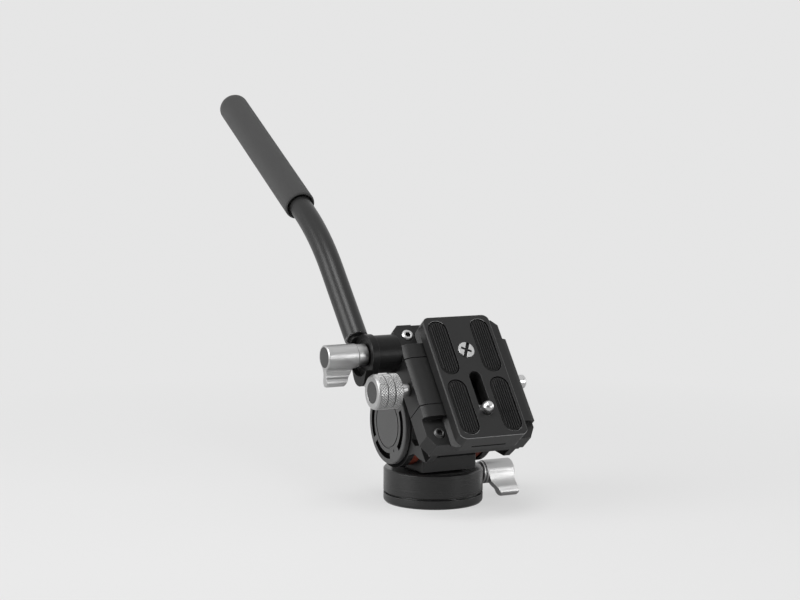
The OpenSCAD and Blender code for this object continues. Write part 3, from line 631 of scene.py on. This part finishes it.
def make_knob():
    place, _ = turned_frame("clamp_knob", -X_AXIS)
    profile = list(KNOB_NECK)
    for low, high in KNOB_BANDS:
        rows = round((high - low) * MM / KNURL_ROW)
        profile.append((KNOB_GROOVE_R, low - KNOB_GROOVE_FLANK))
        profile += [(KNOB_R / MM, low + (high - low) * k / rows) for k in range(rows + 1)]
        profile.append((KNOB_GROOVE_R, high + KNOB_GROOVE_FLANK))
    part = lathe(in_metres(profile + KNOB_FRONT), KNURL_STEPS * KNURLS, knurled)
    piece = dress("clamp_knob_knurled", part, place, ["clamp_knob"], KNURL_SMOOTH_DEG)
    axis = TO_LEVEL @ place.translation
    valley = KNOB_R - VALLEY_SHARE * KNURL_DEPTH
    back = axis.x - KNOB_BANDS[0][0] * MM
    front = axis.x - KNOB_BANDS[-1][1] * MM

    def is_valley(at, normal):
        reach = math.hypot(at.y - axis.y, at.z - axis.z)
        return front < at.x < back and reach < valley

    # Painted shade: faces deep in the knurl's valleys take dark steel
    painted(piece, "dark_steel", is_valley)


make_knob()

# Rubber pads with lengthwise ribs inside a low rim, painted shade low down between the ribs

PAD_W = 9.6 * MM
PAD_LEN = 30.3 * MM
PAD_EDGE = 0.15 * MM
PAD_RIM = 0.5 * MM
PAD_RIM_UP = 0.25 * MM
PAD_RIBS = 7
PAD_FLOOR = 0.9 * MM
PAD_GROOVE = 0.35
PAD_END_STEPS = 14
RIB_WIDTH_SHARE = 0.46
RIB_GAP = 0.25 * MM
RIB_TAPER = 0.4 * MM
RIB_END_SHARE = 0.5
RIB_SHAPE = [(-1, -0.2), (-1, 0.35), (-0.75, 0.8), (-0.3, 1), (0.3, 1), (0.75, 0.8), (1, 0.35), (1, -0.2)]


def stadium(inset):
    """Round-ended outline of a pad, lengthwise along Y, drawn in all round."""
    r = PAD_W / 2 - inset
    straight = (PAD_LEN - PAD_W) / 2
    return arc((0, straight), r, 0, 180, PAD_END_STEPS) + arc((0, -straight), r, 180, 360, PAD_END_STEPS)


def ring_wall(rings):
    """Closed band through several outlines of (points, height), the last joined to the first."""
    count = len(rings[0][0])
    points = [(x, y, z) for outline, z in rings for x, y in outline]
    last = (len(rings) - 1) * count
    close = [(last + k, last + (k + 1) % count, (k + 1) % count, k) for k in range(count)]
    return points, ring_faces(len(rings), count) + close


def rib_bar(x, half_w, half_len, low, high):
    """Rounded bar along Y that tapers at its two ends."""
    taper_from = half_len - RIB_TAPER
    stations = [(-half_len, RIB_END_SHARE), (-taper_from, 1), (taper_from, 1), (half_len, RIB_END_SHARE)]
    points = [(x + across * half_w, y, low + (high - low) * up * share)
              for y, share in stations for across, up in RIB_SHAPE]
    return points, capped_faces(len(stations), len(RIB_SHAPE))


def pad(low, high):
    """One pad about the origin, from its underside to its ribs' tops."""
    floor = high - PAD_FLOOR
    rim_top = floor + PAD_RIM_UP
    outer = stadium(0)
    rim = stadium(PAD_EDGE)
    inner = stadium(PAD_RIM)
    rings = [(inner, low), (outer, low), (outer, rim_top - PAD_EDGE), (rim, rim_top), (inner, rim_top)]
    parts = [ring_wall(rings), prism(stadium(PAD_RIM / 2), low, floor)]
    inner_r = PAD_W / 2 - PAD_RIM
    pitch = 2 * inner_r / PAD_RIBS
    for k in range(PAD_RIBS):
        x = (k + 0.5) * pitch - inner_r
        half_len = (PAD_LEN - PAD_W) / 2 + math.sqrt(inner_r ** 2 - x ** 2) - RIB_GAP
        parts.append(rib_bar(x, pitch * RIB_WIDTH_SHARE / 2, half_len, floor, high))
    return joined(parts)


def make_pads():
    low, high = level_box("plate_pads")
    pads = at_each(pad(low.z, high.z), inner_corners(low, high, PAD_W / 2, PAD_LEN / 2))
    piece = dress("plate_pads_ribbed", pads, LEVEL, ["plate_pads"])
    # Painted shade: faces below the ribs' upper part take black polymer
    painted(piece, "black_polymer", lambda at, normal: at.z < high.z - PAD_GROOVE * PAD_FLOOR)


make_pads()

# Quick-release plate: painted shade in the pockets round its pads and in the line across its ends, light top
# bevels at its ends

POCKET_CLEAR = 0.6 * MM
POCKET_RIM = 0.03 * MM
PLATE_CORNER = 4 * MM
LIGHT_BEVEL_DEPTH = 0.25 * MM
MARK_UP = 3.4 * MM
MARK_HALF_W = 9.6 * MM
MARK_HALF_H = 0.6 * MM
MARK_DEPTHS = (0.01 * MM, 0.7 * MM)
SLANT = 0.2


def paint_plate():
    low, high = level_box("quick_plate")
    pads_low, pads_high = level_box("plate_pads")
    pads_in = -pads_low.x - PAD_W - POCKET_CLEAR
    middle = (low.y + high.y) / 2
    half_len = (high.y - low.y) / 2

    def in_pocket(at):
        beside = pads_in < abs(at.x) < pads_high.x + POCKET_CLEAR
        along = pads_low.y - POCKET_CLEAR < at.y < pads_high.y + POCKET_CLEAR
        return beside and along and pads_low.z - POCKET_RIM < at.z < high.z - POCKET_RIM

    def in_mark(at):
        depth = half_len - abs(at.y - middle)
        across = abs(at.x) < MARK_HALF_W and abs(at.z - low.z - MARK_UP) < MARK_HALF_H
        return across and MARK_DEPTHS[0] < depth < MARK_DEPTHS[1]

    def on_end_edge(at, normal):
        at_end = half_len - abs(at.y - middle) < PLATE_CORNER
        on_top = at.z > high.z - LIGHT_BEVEL_DEPTH
        return at_end and on_top and normal.z > SLANT and abs(normal.y) > SLANT

    plate = soft["quick_plate"]
    # Painted shade in the pockets round the pads and in the mark across the ends
    painted(plate, "shadow_black", lambda at, normal: in_pocket(at) or in_mark(at))
    # Light grey on the top bevels of the ends: partly bare cut metal, partly a painted highlight
    painted(plate, "cut_edge", on_end_edge)


paint_plate()

# Groove across the pedestal's front and back, with painted shade inside

GROOVE_Z = (27.0 * MM, 28.85 * MM)
GROOVE_Y = (17.0 * MM, 17.99 * MM)


def in_groove(at, normal):
    """Whether a face of the pedestal is the groove's bed or its upper wall."""
    inside = GROOVE_Z[0] < at.z < GROOVE_Z[1] and GROOVE_Y[0] < abs(at.y) < GROOVE_Y[1]
    return inside and normal.z < SLANT


# Painted shade on the groove's bed and upper wall
painted(soft["pedestal"], "shadow_black", in_groove, UPRIGHT)

# Rear screw, with painted shade inside its slots

SLOT_SEEN = 0.3 * MM
DOWNWARD = -0.5


def paint_rear_screw():
    _, high = level_box("rear_screw")

    def in_slot(at, normal):
        return at.z < high.z - SLOT_SEEN and normal.z > DOWNWARD

    # Painted shade in the slots, in the black anodising's colour
    painted(soft["rear_screw"], "black_anodised", in_slot)


paint_rear_screw()

# Button-head screws with hexagon sockets in the clamp's ends

SCREW_STEPS = 72
STEM_R = 1.45 * MM
HEAD_R = 3.2 * MM
HEAD_H = 2.9 * MM
SOCKET_R = 1.5
SOCKET_DEPTHS = (0.12 * MM, 2 * MM)
SOCKET_CLEAR = 1.02
SCREW_HEAD = [(3.0, -2.9), (3.2, -2.7), (3.2, -0.9), (3.1, -0.5), (2.75, -0.15), (2.3, 0), (1.75, 0.02)]
SCREW_SOCKET = [(SOCKET_R, -0.1), (SOCKET_R, -1.6), (0.6, -1.8)]


def hexagon(r, turn):
    """Radius of a hexagon with corners at r."""
    sector = math.pi / 3
    return r * math.cos(sector / 2) / math.cos(turn % sector - sector / 2)


def socketed(r, z, turn):
    """Radius of a screw's head, a hexagon where the profile has the socket's radius."""
    return hexagon(r, turn) if abs(r - SOCKET_R * MM) < WELD else r


def make_clamp_screws():
    low, high = level_box("clamp_screws")
    top = high.z
    corners = inner_corners(low, high, HEAD_R, HEAD_R)

    def is_socket(at, normal):
        """Whether a face is inside a head's socket: below its rim and within the socket's corner."""
        across = min(math.hypot(at.x - x, at.y - y) for x, y in corners)
        inside = SOCKET_DEPTHS[0] < top - at.z < SOCKET_DEPTHS[1]
        return inside and across < SOCKET_R * MM * SOCKET_CLEAR

    stem = [(STEM_R, low.z), (STEM_R, top - HEAD_H)]
    head = [(r, top + z) for r, z in in_metres(SCREW_HEAD + SCREW_SOCKET)]
    screws = at_each(lathe(stem + head, SCREW_STEPS, socketed), corners)
    piece = dress("clamp_screws_button", screws, LEVEL, ["clamp_screws"])
    # Painted shade: the front pair of heads take darker steel
    painted(piece, "dark_steel", lambda at, normal: at.y < 0)
    # Painted shade inside the hexagon sockets
    painted(piece, "black_anodised", is_socket)


make_clamp_screws()

# Camera stud with its thread and a domed end

STUD_R = 3.17 * MM
THREAD_PITCH = 1.27 * MM
THREAD_DEPTH = 0.3 * MM
THREAD_ROWS = 10
STUD_DOME_R = 2.5 * MM
STUD_DOME_H = 3.4 * MM
STUD_DOME_STEPS = 12
STUD_DOME_SHARE = 0.985
STUD_HEAD = [(0.4, 0), (6.6, 0), (6.9, 0.3), (6.9, 3.7), (6.6, 3.95), (2.95, 3.95), (2.95, 10.6)]


def threaded(r, z, turn):
    """Radius of a screw thread, cut where the profile has the stud's full radius."""
    if abs(r - STUD_R) > WELD:
        return r
    return r - THREAD_DEPTH * ridge(z / THREAD_PITCH - turn / (2 * math.pi))


def make_stud():
    place, length = turned_frame("camera_screw", NORMAL)
    foot = in_metres(STUD_HEAD)
    low = foot[-1][1]
    straight = length - STUD_DOME_H
    plate_top = level_box("quick_plate")[1].z
    thread_end = ((TO_LEVEL @ place).inverted() @ Vector((0, 0, plate_top))).z
    rows = round((thread_end - low) / (THREAD_PITCH / THREAD_ROWS))
    shaft = [(STUD_R, low + (thread_end - low) * k / rows) for k in range(rows + 1)]
    dome = arc((STUD_R - STUD_DOME_R, straight), STUD_DOME_R, 0, 90, STUD_DOME_STEPS)
    stretch = STUD_DOME_H / STUD_DOME_R
    cap = [(r * STUD_DOME_SHARE, straight + (z - straight) * stretch) for r, z in dome]
    part = lathe(foot + shaft + cap, SCREW_STEPS, threaded)
    dress("camera_screw_threaded", part, place, ["camera_screw"])


make_stud()

for node, solid in NODES.items():
    solid.data.materials.clear()
    solid.data.materials.append(finish_of(node))

# Stage and light

BACKGROUND = 0.79
AMBIENT = 0.25
FRONT_CARD = Vector((-0.45, -0.88, 0.12)).normalized()
CARD_LEVEL = 0.06
CARD_EDGE = 0.25
CARD_MIDDLE = 0.85
FLOOR_SIZE = 6
FLOOR_COLOUR = (0.8, 0.8, 0.8, 1)
FLOOR_FRONT = (-0.2, 0.1)
FLOOR_FRONT_LEVEL = 0.5
# Painted shadow about SHADOW_AT, seen only in reflections: its reach and its level
FLOOR_NEAR = (0.02, 0.08)
FLOOR_NEAR_LEVEL = 0.15
SHADOW_AT = (0.04, 0.03, 0)
SHADOW_SHARE = 0.3
SHADOW_FADE = (0.05, 0.45)
LAMP_TARGET = Vector((0, 0, 0.06))
LAMPS = {
    "left_softbox": dict(at=(-0.95, 0.0, 0.4), size=(0.7, 0.9), power=10),
    "front_right_softbox": dict(at=(0.5, -0.95, 0.2), size=(0.3, 0.5), power=2.7),
    "top_left_softbox": dict(at=(-0.25, -0.4, 1.05), size=(0.45, 0.45), power=6),
    "right_softbox": dict(at=(0.95, -0.25, 0.1), size=(0.4, 0.7), power=2.5),
}


def math_node(tree, operation, first, second):
    """Two values put together by an operation."""
    node = tree.nodes.new("ShaderNodeMath")
    node.operation = operation
    tree.links.new(first, node.inputs[0])
    tree.links.new(second, node.inputs[1])
    return node.outputs["Value"]


def seen_from_outside(tree):
    """1 for rays that see the background: from the camera, from gloss or through glass."""
    path = tree.nodes.new("ShaderNodeLightPath")
    total = path.outputs["Is Camera Ray"]
    for name in ("Is Glossy Ray", "Is Transmission Ray"):
        total = math_node(tree, "MAXIMUM", total, path.outputs[name])
    return total


def background_or(tree, level):
    """The background's level for rays from the camera, and another level for all others."""
    path = tree.nodes.new("ShaderNodeLightPath")
    node = tree.nodes.new("ShaderNodeMix")
    node.inputs["B"].default_value = BACKGROUND
    tree.links.new(path.outputs["Is Camera Ray"], node.inputs["Factor"])
    tree.links.new(level, node.inputs["A"])
    return node.outputs["Result"]


def make_world():
    """Even background, with a darker card in front of the object for what reflects it."""
    world = bpy.data.worlds.new("studio")
    world.use_nodes = True
    bpy.context.scene.world = world
    tree = world.node_tree
    direction = tree.nodes.new("ShaderNodeTexCoord")
    dot = tree.nodes.new("ShaderNodeVectorMath")
    dot.operation = "DOT_PRODUCT"
    dot.inputs[1].default_value = FRONT_CARD
    tree.links.new(direction.outputs["Generated"], dot.inputs[0])
    studio = range_node(tree, dot.outputs["Value"], (CARD_EDGE, CARD_MIDDLE, BACKGROUND, CARD_LEVEL))
    level = tree.nodes.new("ShaderNodeMix")
    level.inputs["A"].default_value = AMBIENT
    tree.links.new(seen_from_outside(tree), level.inputs["Factor"])
    tree.links.new(studio, level.inputs["B"])
    background = tree.nodes["Background"]
    background.inputs["Color"].default_value = (1, 1, 1, 1)
    tree.links.new(background_or(tree, level.outputs["Result"]), background.inputs["Strength"])


def floor_distance(f, centre):
    """Distance of a point of the floor from a point on it."""
    distance = f.tree.nodes.new("ShaderNodeVectorMath")
    distance.operation = "DISTANCE"
    distance.inputs[1].default_value = centre
    f.link(f.coordinates.outputs["Object"], distance.inputs[0])
    return distance.outputs["Value"]


def floor_level(f):
    """Level of the floor; what reflects it sees it darker in front of the object, and a painted shadow close to
    it.
    """
    place = f.tree.nodes.new("ShaderNodeSeparateXYZ")
    f.link(f.coordinates.outputs["Object"], place.inputs[0])
    front_level = FLOOR_FRONT_LEVEL * BACKGROUND
    front = range_node(f.tree, place.outputs["Y"], (*FLOOR_FRONT, front_level, BACKGROUND))
    near = range_node(f.tree, floor_distance(f, SHADOW_AT), (*FLOOR_NEAR, FLOOR_NEAR_LEVEL, 1))
    return background_or(f.tree, math_node(f.tree, "MULTIPLY", front, near))


def make_floor():
    """Pale floor in the background's grey; the object's shadow shows near it and fades with distance."""
    bpy.ops.mesh.primitive_plane_add(size=FLOOR_SIZE)
    floor = bpy.context.object
    floor.name = "floor"
    f = Finish("pale_floor")
    f.set(Base_Color=FLOOR_COLOUR, Roughness=0.9, Specular_IOR_Level=0.0)
    even = range_node(f.tree, floor_distance(f, (0, 0, 0)), (*SHADOW_FADE, 1 - SHADOW_SHARE, 1))
    glow = f.tree.nodes.new("ShaderNodeEmission")
    f.link(floor_level(f), glow.inputs["Strength"])
    mix = f.tree.nodes.new("ShaderNodeMixShader")
    f.link(math_node(f.tree, "MULTIPLY", seen_from_outside(f.tree), even), mix.inputs["Fac"])
    f.link(f.shader.outputs["BSDF"], mix.inputs[1])
    f.link(glow.outputs["Emission"], mix.inputs[2])
    f.link(mix.outputs["Shader"], f.tree.nodes["Material Output"].inputs["Surface"])
    floor.data.materials.append(f.material)


def make_lamp(name, at, size, power):
    """Soft box of a given size and power in watts that faces the object."""
    data = bpy.data.lights.new(name, "AREA")
    data.shape = "RECTANGLE"
    data.size, data.size_y = size
    data.energy = power
    lamp = bpy.data.objects.new(name, data)
    lamp.location = at
    lamp.rotation_euler = (LAMP_TARGET - Vector(at)).to_track_quat("-Z", "Y").to_euler()
    bpy.context.scene.collection.objects.link(lamp)


make_world()
make_floor()
for name, values in LAMPS.items():
    make_lamp(name, **values)
bpy.context.scene.view_settings.view_transform = "Standard"
